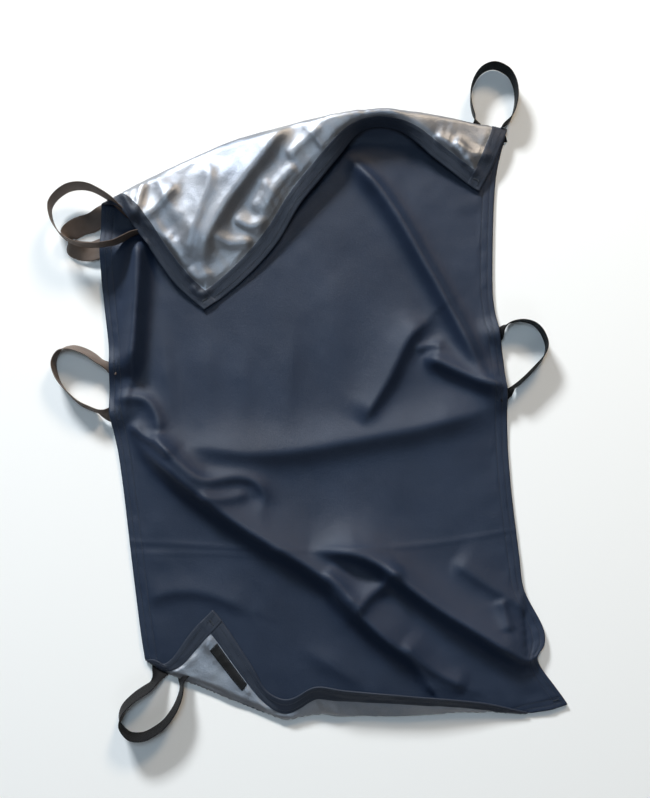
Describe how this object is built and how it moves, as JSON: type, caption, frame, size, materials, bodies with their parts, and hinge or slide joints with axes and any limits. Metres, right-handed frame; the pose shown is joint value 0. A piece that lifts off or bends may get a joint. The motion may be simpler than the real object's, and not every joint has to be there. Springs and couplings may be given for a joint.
{
  "type": "spray cover sheet",
  "caption": "Rectangular two-layer cover sheet, dark outside and silver inside, with turned hems and webbing loops along both long edges, lying with three corners folded over.",
  "frame": {"origin": "middle of the sheet's underside, on the floor that it lies on", "axes": "+Z up from the floor, +Y along the sheet towards its folded top end, +X to the right as seen from above with +Y up"},
  "size_m": [0.6164, 0.8116, 0.0517],
  "materials": {
    "shell_cloth": "soft matt face with a faint sheen",
    "silver_cloth": "silver-coated cloth, semi-gloss, puckered",
    "hem_cloth": "turned shell cloth, slightly glossy",
    "webbing": "flat woven webbing",
    "thread": "twisted polyester thread",
    "label_tape": "dense satin-woven tape, blank"
  },
  "bodies": {
    "sheet": {"shell_panel": "shell_cloth", "silver_lining": "silver_cloth", "left_hem": "hem_cloth", "right_hem": "hem_cloth", "top_hem": "hem_cloth", "bottom_hem": "hem_cloth", "left_hem_stitching": "thread", "right_hem_stitching": "thread", "top_hem_stitching": "thread", "bottom_hem_stitching": "thread", "corner_bar_tacks": "thread", "anchor_box_stitching": "thread", "blank_label": "label_tape", "label_stitching": "thread", "anchors_top_left_flap": "webbing", "anchors_top_left": "webbing", "anchors_middle_left": "webbing", "anchors_bottom_left": "webbing", "anchors_top_right": "webbing", "anchors_middle_right": "webbing"},
    "loop_top_left_flap": {"loop_top_left_flap": "webbing"},
    "loop_top_left": {"loop_top_left": "webbing"},
    "loop_middle_left": {"loop_middle_left": "webbing"},
    "loop_bottom_left": {"loop_bottom_left": "webbing"},
    "loop_top_right": {"loop_top_right": "webbing"},
    "loop_middle_right": {"loop_middle_right": "webbing"}
  },
  "joints": [
    {"name": "top_left_flap_swing", "type": "hinge", "parent": "sheet", "child": "loop_top_left_flap", "pos_m": [-0.2208, 0.2536, 0.01775], "axis": [-0.6348, 0.7688, 0.0775], "range_deg": [0, 35]},
    {"name": "top_left_swing", "type": "hinge", "parent": "sheet", "child": "loop_top_left", "pos_m": [-0.2513, 0.244, 0.0021], "axis": [0, 1, 0], "range_deg": [0, 35]},
    {"name": "middle_left_swing", "type": "hinge", "parent": "sheet", "child": "loop_middle_left", "pos_m": [-0.2522, 0.0535, 0.0021], "axis": [0, 1, 0], "range_deg": [0, 90]},
    {"name": "bottom_left_swing", "type": "hinge", "parent": "sheet", "child": "loop_bottom_left", "pos_m": [-0.2035, -0.3108, 0.0006], "axis": [-0.891, 0.454, 0], "range_deg": [0, 20]},
    {"name": "top_right_swing", "type": "hinge", "parent": "sheet", "child": "loop_top_right", "pos_m": [0.2522, 0.3618, 0.0006], "axis": [0.9888, -0.1495, 0], "range_deg": [0, 20]},
    {"name": "middle_right_swing", "type": "hinge", "parent": "sheet", "child": "loop_middle_right", "pos_m": [0.2307, 0.0385, 0.0021], "axis": [0, -1, 0], "range_deg": [0, 90]}
  ],
  "couplings": [
    {"joint": "top_left_swing", "follows": "top_left_flap_swing", "ratio": 1}
  ]
}
